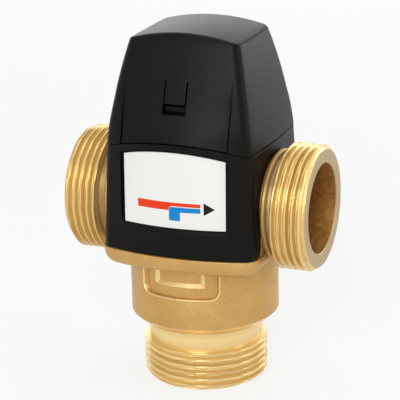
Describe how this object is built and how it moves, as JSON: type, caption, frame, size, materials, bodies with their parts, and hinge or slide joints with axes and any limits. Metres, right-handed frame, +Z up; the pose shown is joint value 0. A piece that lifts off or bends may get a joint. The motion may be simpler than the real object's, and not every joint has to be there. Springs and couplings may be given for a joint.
{
  "type": "thermostatic mixing valve",
  "caption": "Brass mixing valve with male threaded ports to the left, right and below, and a black moulded cover with a lift-off cap over the setting knob.",
  "frame": {"origin": "middle of the bottom (cold) port's end face, on which the valve stands", "axes": "+Z up along the valve stem, +X towards the mixed port, -Y towards the label"},
  "size_m": [0.084, 0.0574, 0.123],
  "materials": {
    "cast_brass": "shot-blasted casting with machined threads and faces",
    "turned_brass": "turned, bright",
    "copper_alloy": "drawn copper alloy, satin",
    "stainless_steel": "stamped or turned, satin",
    "spring_steel": "drawn wire and stamped rings, satin",
    "rubber": "moulded rubber, matt",
    "knob_plastic": "moulded, satin black",
    "cover_plastic": "moulded, satin black",
    "label_film": "printed film, satin white"
  },
  "bodies": {
    "valve": {"valve_body": "cast_brass", "hot_seat_ring": "turned_brass", "cold_seat_ring": "turned_brass", "bonnet": "turned_brass", "bonnet_o_ring": "rubber", "spring_cage": "stainless_steel", "cage_circlip": "spring_steel", "return_spring": "spring_steel", "lower_shell": "cover_plastic", "label_plate": "label_film"},
    "cap": {"cap": "cover_plastic"},
    "knob": {"adjusting_knob": "knob_plastic", "adjusting_spindle": "turned_brass", "spindle_o_rings": "rubber", "spindle_circlip": "spring_steel", "knob_screw": "stainless_steel"},
    "nut": {"setting_nut": "turned_brass", "overtravel_spring": "spring_steel", "plunger_circlip": "spring_steel"},
    "plunger": {"plunger": "stainless_steel", "element_pin": "stainless_steel"},
    "stem": {"thermostat_capsule": "copper_alloy", "hot_disc": "turned_brass", "hot_disc_seal": "rubber", "hot_disc_nut": "turned_brass", "cold_disc": "turned_brass", "cold_disc_seal": "rubber", "cold_disc_nut": "turned_brass"}
  },
  "joints": [
    {"name": "cap_lift", "type": "slide", "parent": "valve", "child": "cap", "axis": [0, 0, 1], "range_m": [0, 0.045]},
    {"name": "knob_turn", "type": "hinge", "parent": "valve", "child": "knob", "pos_m": [0, 0, 0.1], "axis": [0, 0, 1], "range_deg": [-150, 150]},
    {"name": "nut_travel", "type": "slide", "parent": "valve", "child": "nut", "axis": [0, 0, 1], "range_m": [-0.00125, 0.00125]},
    {"name": "plunger_travel", "type": "slide", "parent": "nut", "child": "plunger", "axis": [0, 0, 1], "range_m": [0, 0.002], "stiffness_N_per_m": 20000, "springref_m": -0.002, "deforming": ["overtravel_spring"]},
    {"name": "stem_travel", "type": "slide", "parent": "valve", "child": "stem", "axis": [0, 0, 1], "range_m": [-0.0019, 0.0019], "stiffness_N_per_m": 6000, "deforming": ["return_spring"]}
  ],
  "couplings": [
    {"joint": "knob_turn", "follows": "nut_travel", "rad_per_m": -2094}
  ]
}
